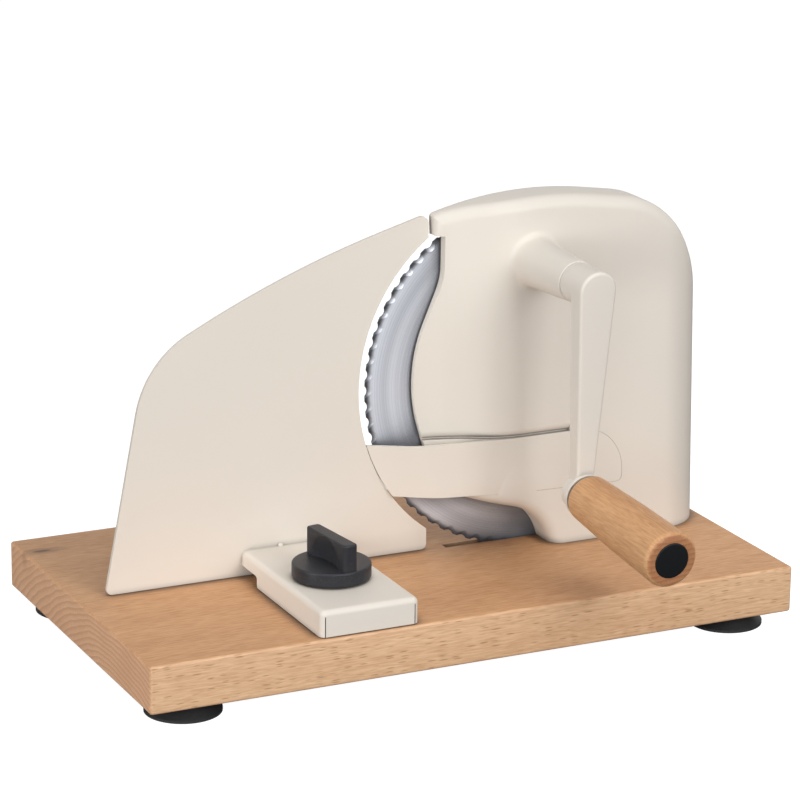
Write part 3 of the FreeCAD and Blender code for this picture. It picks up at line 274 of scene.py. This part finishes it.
def beech_figure():
    """Solid beech with its grain along X. Rings: the distance from a pith line along X, flattened along Y and
    bent by slow noise, cut into years that darken towards their end; strong where End is 1. Fibre: noise drawn
    out along X into short wavy streaks. Flecks: drawn-out cells, of which some hold a brown dash; they show
    where Side is 1. Drift: slow noise over a few centimetres. Where End is 1, the colour goes the part Redden
    of the way to Red. Where Side and End are both 0, it takes the tint Oil."""
    group, given, made = new_group(
        "beech_figure",
        [("Vector", "Vector", (0, 0, 0)), ("Pith", "Vector", pith_place), ("Year", "Float", year_width),
         ("Pale", "Color", board_pale), ("Dark", "Color", board_dark), ("Fleck", "Color", fleck_brown),
         ("Oil", "Color", oiled_face), ("Red", "Color", end_brown), ("Redden", "Float", end_redness),
         ("End", "Float", 0.0), ("Side", "Float", 1.0)],
        [("Color", "Color"), ("Height", "Float"), ("Roughness", "Float")])
    value = given.outputs

    def stretched(scale):
        return vectors_worked_out(group, "MULTIPLY", value["Vector"], scale)

    across = vectors_worked_out(group, "SUBTRACT", value["Vector"], value["Pith"])
    from_pith = vectors_worked_out(group, "LENGTH", vectors_worked_out(group, "MULTIPLY", across, ring_flatness))
    bends = noise(group, stretched(bend_stretch), 1.0, 3.0)
    bent = worked_out(group, "MULTIPLY_ADD", bends, ring_bend, from_pith)
    part_of_year = worked_out(group, "FRACT", worked_out(group, "DIVIDE", bent, value["Year"]))
    ring = worked_out(group, "POWER", part_of_year, late_wood)
    ring_amount = ramp(group, value["End"], 0.0, 1.0, ring_on_faces, ring_on_ends)
    ring_part = worked_out(group, "MULTIPLY", ring, ring_amount)

    fibre = noise(group, stretched(fibre_stretch), 1.0, 3.0, fibre_curl)
    fibre_part = ramp(group, fibre, streak_low, streak_high, 0.0, fibre_strength)
    drift = noise(group, stretched(drift_stretch), 1.0, 3.0)
    drift_part = ramp(group, drift, streak_low, streak_high, 0.0, drift_strength)
    streaks = worked_out(group, "ADD", fibre_part, drift_part)
    depth = worked_out(group, "ADD", streaks, ring_part, use_clamp=True)
    body = laid_over(group, depth, value["Pale"], value["Dark"])

    along = ramp(group, value["End"], 0.0, 1.0, 1.0, 0.0)
    flatwise = ramp(group, value["Side"], 0.0, 1.0, 1.0, 0.0)
    oiling = worked_out(group, "MULTIPLY", flatwise, along)
    oiled = laid_over(group, oiling, body, value["Oil"], "MULTIPLY")
    reddening = worked_out(group, "MULTIPLY", value["End"], value["Redden"])
    reddened = laid_over(group, reddening, oiled, value["Red"])

    cell = shader(group, "TexVoronoi", {"Vector": stretched(fleck_stretch), "Scale": 1.0, "Randomness": 1.0})
    lot = shader(group, "SeparateColor", {0: cell.outputs["Color"]}).outputs[0]
    picked = ramp(group, lot, fleck_from, fleck_sure)
    dash = ramp(group, cell.outputs["Distance"], dash_rim, dash_core)
    fleck = worked_out(group, "MULTIPLY", picked, dash)
    fleck_amount = ramp(group, value["Side"], 0.0, 1.0, fleck_on_faces, fleck_on_edges)
    shown_fleck = worked_out(group, "MULTIPLY", fleck, worked_out(group, "MULTIPLY", fleck_amount, along))
    color = laid_over(group, shown_fleck, reddened, value["Fleck"])

    group.links.new(color, made.inputs["Color"])
    group.links.new(worked_out(group, "MULTIPLY_ADD", shown_fleck, dash_relief, fibre), made.inputs["Height"])
    group.links.new(ramp(group, fibre, 0.3, 0.7, wood_smooth, wood_rough), made.inputs["Roughness"])
    return group


beech = beech_figure()


def painted_shade_in_nooks(tree, color, dark, reach, open_share, closed_share):
    """Painted shade: a colour that goes dark where other surfaces stand within reach, as shade does in nooks,
    creases and along contact lines. It starts where no more than open_share of the sky is free, and is full at
    closed_share."""
    open_sky = shader(tree, "AmbientOcclusion", {"Distance": reach}, samples=8).outputs["AO"]
    return laid_over(tree, ramp(tree, open_sky, open_share, closed_share, 0.0, painted_shade_depth), color, dark)


def beech_material(name, turn, values, knot=None):
    """Beech whose grain is brought onto X by turning the object's coordinates. Where a knot is given, a dark
    spindle lies there in a wider brown halo."""
    material, tree = new_material(name)
    place = shader(tree, "TexCoord")
    grain = shader(tree, "Mapping", {"Vector": place.outputs["Object"], "Rotation": turn})
    facing = shader(tree, "Mapping", {"Vector": place.outputs["Normal"], "Rotation": turn})
    parts = shader(tree, "SeparateXYZ", {0: facing.outputs[0]})
    endwise = ramp(tree, worked_out(tree, "ABSOLUTE", parts.outputs[0]), end_from, end_sure)
    edgewise = worked_out(tree, "ABSOLUTE", parts.outputs[1])
    figure = shader(tree, "Group", node_tree=beech)
    for label, link in {"Vector": grain.outputs[0], "End": endwise, "Side": edgewise}.items():
        tree.links.new(link, figure.inputs[label])
    for label, value in values.items():
        figure.inputs[label].default_value = value
    color = figure.outputs["Color"]
    if knot:
        away = vectors_worked_out(tree, "SUBTRACT", place.outputs["Object"], knot)
        far = vectors_worked_out(tree, "LENGTH", vectors_worked_out(tree, "MULTIPLY", away, knot_oval))
        core = ramp(tree, far, core_rim, core_full, 0.0, core_depth, smooth=True)
        halo = ramp(tree, far, halo_rim, halo_full, 0.0, halo_depth, smooth=True)
        color = laid_over(tree, worked_out(tree, "MAXIMUM", core, halo), color, knot_brown)
    # Painted shade: the wood goes dark where other parts stand close.
    shaded = painted_shade_in_nooks(tree, color, wood_painted_shade, wood_nook_reach, wood_nook_open, wood_nook_closed)
    surface(tree, {"Base Color": shaded,
                   "Normal": relief(tree, figure.outputs["Height"], grain_bump, grain_depth),
                   "Roughness": figure.outputs["Roughness"], "Specular IOR Level": wood_gloss})
    return material


def smooth_skin(node, material, sharp_deg=32.0, round_mm=0.0):
    """A copy of a solid's surface with its loose triangles joined, smooth except at edges sharper than
    sharp_deg, and with those edges rounded where round_mm says so. It stands for the solid."""
    source = frame["nodes"][node]
    points = np.empty(len(source.data.vertices) * 3)
    source.data.vertices.foreach_get("co", points)
    points = points.reshape(-1, 3)
    corners = np.empty(len(source.data.loops), dtype=np.int64)
    source.data.loops.foreach_get("vertex_index", corners)
    to_microns = np.round(points * 1e6).astype(np.int64)
    _, first, joined = np.unique(to_microns, axis=0, return_index=True, return_inverse=True)
    triangles = joined.reshape(-1)[corners].reshape(-1, 3)
    a, b, c = triangles.T
    whole = (a != b) & (b != c) & (c != a)
    mesh = bpy.data.meshes.new(node + "_skin")
    mesh.from_pydata(points[first].tolist(), [], triangles[whole].tolist())
    mesh.shade_smooth()
    mesh.set_sharp_from_angle(angle=math.radians(sharp_deg))
    piece = bpy.data.objects.new(node + "_skin", mesh)
    scene.collection.objects.link(piece)
    if round_mm:
        bevel = piece.modifiers.new("soft_edges", "BEVEL")
        bevel.width = round_mm / 1000
        bevel.segments = 2
        bevel.limit_method = "ANGLE"
        bevel.angle_limit = math.radians(sharp_deg)
        bevel.harden_normals = True
    mesh.materials.append(material)
    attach(piece, source["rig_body"])
    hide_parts(node)


board_beech = beech_material("board_beech", (0.0, 0.0, 0.0), {}, knot_place)
smooth_skin("base_board", board_beech)

# ---------------------------------------------------------------- suction feet
# Moulded black rubber cups, screwed to the board through their necks. Fine dust dulls them.
rubber_deep = (0.010, 0.010, 0.011, 1.0)
rubber_dusty = (0.026, 0.026, 0.028, 1.0)
dust_scale = 900.0
dust_bump, dust_depth = 0.2, 0.0001

rubber_black, tree = new_material("rubber_black")
dust = noise(tree, own_place(tree), dust_scale, 3.0)
surface(tree, {"Base Color": laid_over(tree, dust, rubber_deep, rubber_dusty),
               "Normal": relief(tree, dust, dust_bump, dust_depth), "Roughness": 0.55})
smooth_skin("suction_feet", rubber_black)

# ---------------------------------------------------------------- zinc-plated screws, pins and washers
# Bright plated steel, turned or pressed, with the faint cloudiness of the plating.
zinc_dull = (0.52, 0.52, 0.53, 1.0)
zinc_bright = (0.68, 0.68, 0.69, 1.0)
cloud_scale = 260.0
zinc_smooth, zinc_rough = 0.26, 0.40

zinc_steel, tree = new_material("zinc_steel")
cloud = noise(tree, own_place(tree), cloud_scale, 4.0)
surface(tree, {"Base Color": laid_over(tree, cloud, zinc_dull, zinc_bright), "Metallic": 1.0,
               "Roughness": ramp(tree, cloud, 0.3, 0.7, zinc_smooth, zinc_rough)})
for node in ("foot_screws", "housing_screws", "gear_cover_screws", "deflector_screws", "blade_screws",
             "guide_block_screws", "axle_washer", "axle_screw", "blade_axle", "crank_shaft", "crank_arm_screw",
             "shaft_retaining_ring", "handle_pin", "knob_stud", "knob_washer"):
    smooth_skin(node, zinc_steel)

# ---------------------------------------------------------------- housing
# One casting with soft edges and a long tapered boss for the crank, powder coated in matte warm cream.
cream = (0.770, 0.718, 0.648, 1.0)
cream_shade = (0.740, 0.684, 0.612, 1.0)
# Painted shade in the coat's nooks and joints, and how near and how shut in a place must be for it.
cream_painted_shade = (0.16, 0.14, 0.12, 1.0)
cream_nook_reach, cream_nook_open, cream_nook_closed = 0.007, 0.72, 0.20
tone_scale, peel_scale, grit_scale = 9.0, 1400.0, 4200.0
grit_part = 0.4
peel_bump, peel_depth = 0.12, 0.0001
cast_edge_deg = 38.0


def coat_texture():
    """Powder coat: a fine orange peel of two noises, and a slow drift of tone over a hand's width."""
    group, given, made = new_group("coat_texture", [("Vector", "Vector", (0, 0, 0))],
                                   [("Tone", "Float"), ("Height", "Float")])
    place = given.outputs["Vector"]
    peel = noise(group, place, peel_scale, 2.0)
    grit = noise(group, place, grit_scale, 1.0)
    group.links.new(noise(group, place, tone_scale, 2.0), made.inputs["Tone"])
    group.links.new(worked_out(group, "MULTIPLY_ADD", grit, grit_part, peel), made.inputs["Height"])
    return group


cream_coat, tree = new_material("cream_coat")
texture = shader(tree, "Group", node_tree=coat_texture())
tree.links.new(own_place(tree), texture.inputs["Vector"])
tone = laid_over(tree, texture.outputs["Tone"], cream, cream_shade)
# Painted shade: the coat goes dark in nooks and along joints where other parts stand close.
shaded = painted_shade_in_nooks(tree, tone, cream_painted_shade, cream_nook_reach, cream_nook_open, cream_nook_closed)
surface(tree, {"Base Color": shaded,
               "Normal": relief(tree, texture.outputs["Height"], peel_bump, peel_depth),
               "Roughness": 0.50, "Specular IOR Level": 0.4})
smooth_skin("housing_shell", cream_coat, cast_edge_deg)

# ---------------------------------------------------------------- bushes, crank gear and threaded insert
# Turned and cut from bronze and brass, with fine pores.
bronze_deep = (0.50, 0.31, 0.13, 1.0)
bronze_bright = (0.70, 0.48, 0.24, 1.0)
pore_scale = 1500.0

bronze, tree = new_material("bronze")
pores = noise(tree, own_place(tree), pore_scale, 3.0)
surface(tree, {"Base Color": laid_over(tree, pores, bronze_deep, bronze_bright), "Metallic": 1.0,
               "Roughness": 0.38})
for node in ("front_bush", "rear_bush", "blade_bush", "crank_gear", "threaded_insert"):
    smooth_skin(node, bronze)

# ---------------------------------------------------------------- crank arm
# A cast arm in the housing's coat. It leans in towards the grip and narrows to a round lug.
smooth_skin("crank_arm", cream_coat, cast_edge_deg)

# ---------------------------------------------------------------- grip and its end plug
# A turned beech grip, thicker at its outer end, with reddish end grain round a black moulded plug. Its grain
# runs along Y, and its pith lay well outside the turned piece.
grip_turn = (0.0, 0.0, math.pi / 2)
plug_skin = (0.0035, 0.004, 0.005, 1.0)
plug_spark_scale = 2500.0
plug_bump, plug_depth = 0.15, 0.0001

grip_beech = beech_material("grip_beech", grip_turn, {
    "Pale": (0.735, 0.435, 0.220, 1.0), "Dark": (0.450, 0.215, 0.095, 1.0), "Fleck": (0.560, 0.300, 0.140, 1.0),
    "Oil": (0.90, 0.84, 0.78, 1.0), "Red": (0.300, 0.105, 0.045, 1.0), "Redden": 0.60,
    "Pith": (0.0, 0.075, 0.05)})
smooth_skin("handle_grip", grip_beech)

plug_black, tree = new_material("plug_black")
spark = noise(tree, own_place(tree), plug_spark_scale, 2.0)
surface(tree, {"Base Color": plug_skin, "Normal": relief(tree, spark, plug_bump, plug_depth),
               "Roughness": 0.50, "Specular IOR Level": 0.22})
smooth_skin("handle_end_plug", plug_black)

# ---------------------------------------------------------------- blade gear and guide block
# Off-white acetal, turned and milled, slightly milky in depth.
acetal_shade = (0.78, 0.78, 0.74, 1.0)
acetal_light = (0.84, 0.84, 0.81, 1.0)
milk_scale = 60.0

acetal, tree = new_material("acetal")
milk = noise(tree, own_place(tree), milk_scale, 3.0)
surface(tree, {"Base Color": laid_over(tree, milk, acetal_shade, acetal_light), "Roughness": 0.45})
smooth_skin("blade_gear", acetal)
smooth_skin("guide_block", acetal)

# ---------------------------------------------------------------- blade
# Satin stainless steel, turned in rings about its axis, with ground scallops round its edge. Painted shade: the
# scallops are painted near black, and the steel is painted darker near the housing's edge and other close parts.
blade_axis = (0.075, 0.034, 0.125)
blade_plane = (1.0, 0.0, 1.0)
steel_dark = (0.50, 0.53, 0.59, 1.0)
steel_light = (0.72, 0.75, 0.82, 1.0)
# Painted shade on the ground scallops round the edge, between these two radii.
edge_painted_shade = (0.050, 0.053, 0.062, 1.0)
ground_from, ground_full = 0.0912, 0.0942
# Painted shade near the housing's edge and other close parts, and how near and how shut in a place must be for it.
steel_painted_shade = (0.10, 0.105, 0.12, 1.0)
steel_nook_reach, steel_nook_open, steel_nook_closed = 0.020, 0.96, 0.55
fine_scale, wide_scale = 2600.0, 170.0
wide_part = 0.50
mark_dark, mark_light = 0.50, 1.00
mark_bump, mark_depth = 0.25, 0.00005
blade_edge_deg = 12.0


def rings_of_noise(tree, radius, scale, detail):
    """The strength of a noise that depends on the radius alone."""
    return shader(tree, "TexNoise", {"W": radius, "Scale": scale, "Detail": detail},
                  noise_dimensions="1D").outputs["Fac"]


blade_steel, tree = new_material("blade_steel")
from_axis = vectors_worked_out(tree, "SUBTRACT", own_place(tree), blade_axis)
in_plane = vectors_worked_out(tree, "MULTIPLY", from_axis, blade_plane)
radius = vectors_worked_out(tree, "LENGTH", in_plane)
fine = rings_of_noise(tree, radius, fine_scale, 4.0)
wide = rings_of_noise(tree, radius, wide_scale, 2.0)
marks = worked_out(tree, "MULTIPLY_ADD", wide, wide_part, fine)
tone = laid_over(tree, ramp(tree, marks, mark_dark, mark_light), steel_dark, steel_light)
# Painted shade: the band of ground scallops round the edge is painted near black.
steel = laid_over(tree, ramp(tree, radius, ground_from, ground_full, smooth=True), tone, edge_painted_shade)
round_the_axis = vectors_worked_out(tree, "CROSS_PRODUCT", in_plane, (0.0, 1.0, 0.0))
turning = shader(tree, "VectorTransform", {0: round_the_axis}, vector_type="VECTOR", convert_from="OBJECT",
                 convert_to="WORLD")
# Painted shade: the steel goes dark near the housing's edge and other close parts.
shaded = painted_shade_in_nooks(tree, steel, steel_painted_shade, steel_nook_reach, steel_nook_open, steel_nook_closed)
surface(tree, {"Base Color": shaded, "Metallic": 0.28, "Roughness": 0.28, "Anisotropic": 0.75,
               "Tangent": turning.outputs[0], "Normal": relief(tree, fine, mark_bump, mark_depth)})
smooth_skin("slicing_blade", blade_steel, blade_edge_deg)

# ---------------------------------------------------------------- gear cover
# Bare aluminium sheet over the gears, with the fine lines of its rolling.
sheet_dull = (0.60, 0.60, 0.61, 1.0)
sheet_bright = (0.74, 0.74, 0.75, 1.0)
rolling_stretch = (20.0, 1.0, 900.0)
line_bump, line_depth = 0.15, 0.0001

sheet_aluminium, tree = new_material("sheet_aluminium")
lines = noise(tree, vectors_worked_out(tree, "MULTIPLY", own_place(tree), rolling_stretch), 1.0, 3.0)
surface(tree, {"Base Color": laid_over(tree, lines, sheet_dull, sheet_bright), "Metallic": 1.0,
               "Roughness": 0.42, "Normal": relief(tree, lines, line_bump, line_depth)})
smooth_skin("gear_cover", sheet_aluminium)

# ---------------------------------------------------------------- slice deflector, fence and folded cover
# Sheet steel in the housing's coat.
for node in ("slice_deflector", "fence_plate", "clamp_cover"):
    smooth_skin(node, cream_coat, cast_edge_deg)

# ---------------------------------------------------------------- clamp knob
# Moulded charcoal plastic with a fine spark-eroded skin, pale specks and soft edges.
charcoal = (0.024, 0.025, 0.030, 1.0)
charcoal_speck = (0.120, 0.120, 0.135, 1.0)
speck_from, speck_full, speck_depth = 0.62, 0.74, 0.6
knob_spark_scale = 2200.0
knob_bump, knob_depth = 0.25, 0.0001
knob_round_mm = 0.4

knob_charcoal, tree = new_material("knob_charcoal")
spark = noise(tree, own_place(tree), knob_spark_scale, 2.0)
specks = ramp(tree, spark, speck_from, speck_full, 0.0, speck_depth)
surface(tree, {"Base Color": laid_over(tree, specks, charcoal, charcoal_speck),
               "Normal": relief(tree, spark, knob_bump, knob_depth), "Roughness": 0.40, "Specular IOR Level": 0.25})
smooth_skin("clamp_knob", knob_charcoal, round_mm=knob_round_mm)
